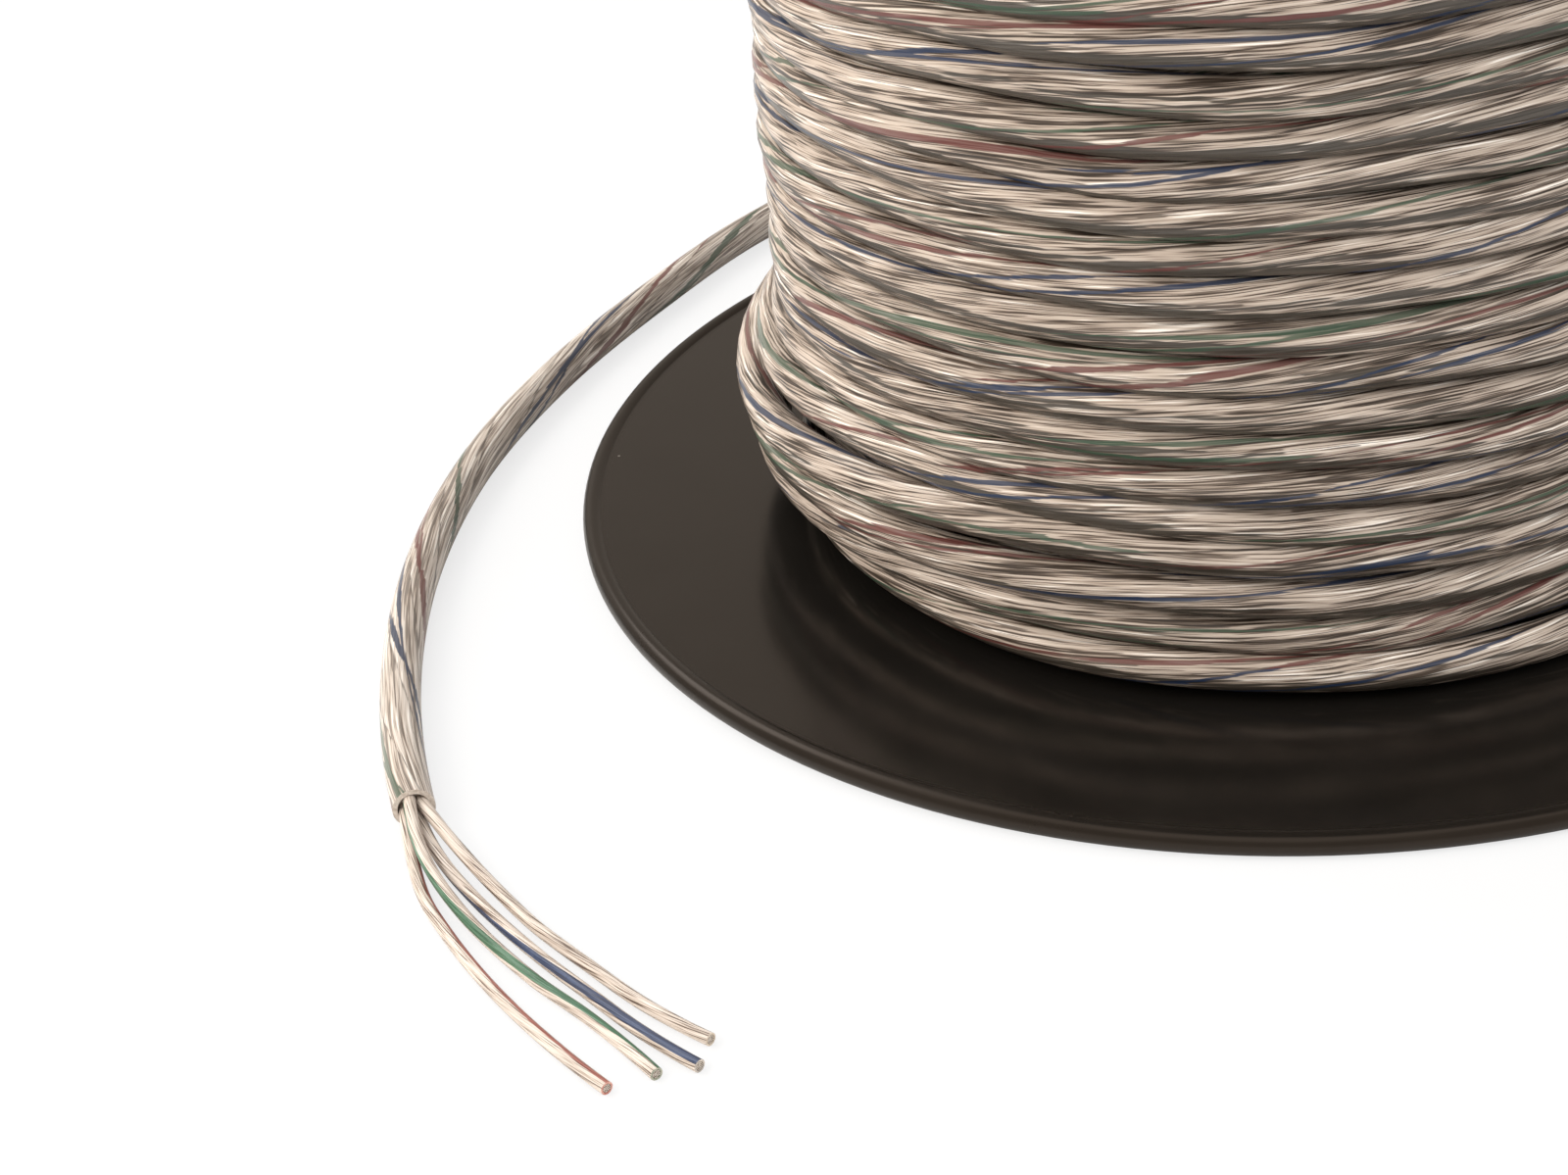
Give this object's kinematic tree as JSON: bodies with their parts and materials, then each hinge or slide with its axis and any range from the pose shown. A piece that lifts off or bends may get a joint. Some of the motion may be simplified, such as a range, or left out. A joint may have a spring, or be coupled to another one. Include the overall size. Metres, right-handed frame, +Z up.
{
  "type": "reel of clear rgb led cable",
  "caption": "Black plastic reel wound with clear round four-core cable, its free end lying beside it with the jacket cut back and four cores fanned out.",
  "frame": {"origin": "on the reel's axis, under the lower flange, at the level of the surface it stands on", "axes": "+Z up along the reel's axis; -Y towards the front, where the stripped end lies; +X to the right"},
  "size_m": [0.2207, 0.2665, 0.175],
  "materials": {
    "reel_plastic": "glossy black moulded plastic",
    "wound_cable": "tinned strands seen through a clear jacket",
    "clear_jacket": "clear soft plastic, glossy",
    "core_red": "clear insulation with a red stripe",
    "core_green": "clear insulation with a green stripe",
    "core_blue": "clear insulation with a blue stripe",
    "core_clear": "clear insulation with no stripe",
    "tinned_copper": "fine tinned copper strands"
  },
  "bodies": {
    "root": {"lower_flange": "reel_plastic", "upper_flange": "reel_plastic", "barrel": "reel_plastic", "cable_winding": "wound_cable", "cable_tail": "clear_jacket", "core_red": "core_red", "core_green": "core_green", "core_blue": "core_blue", "core_clear": "core_clear"}
  },
  "joints": []
}
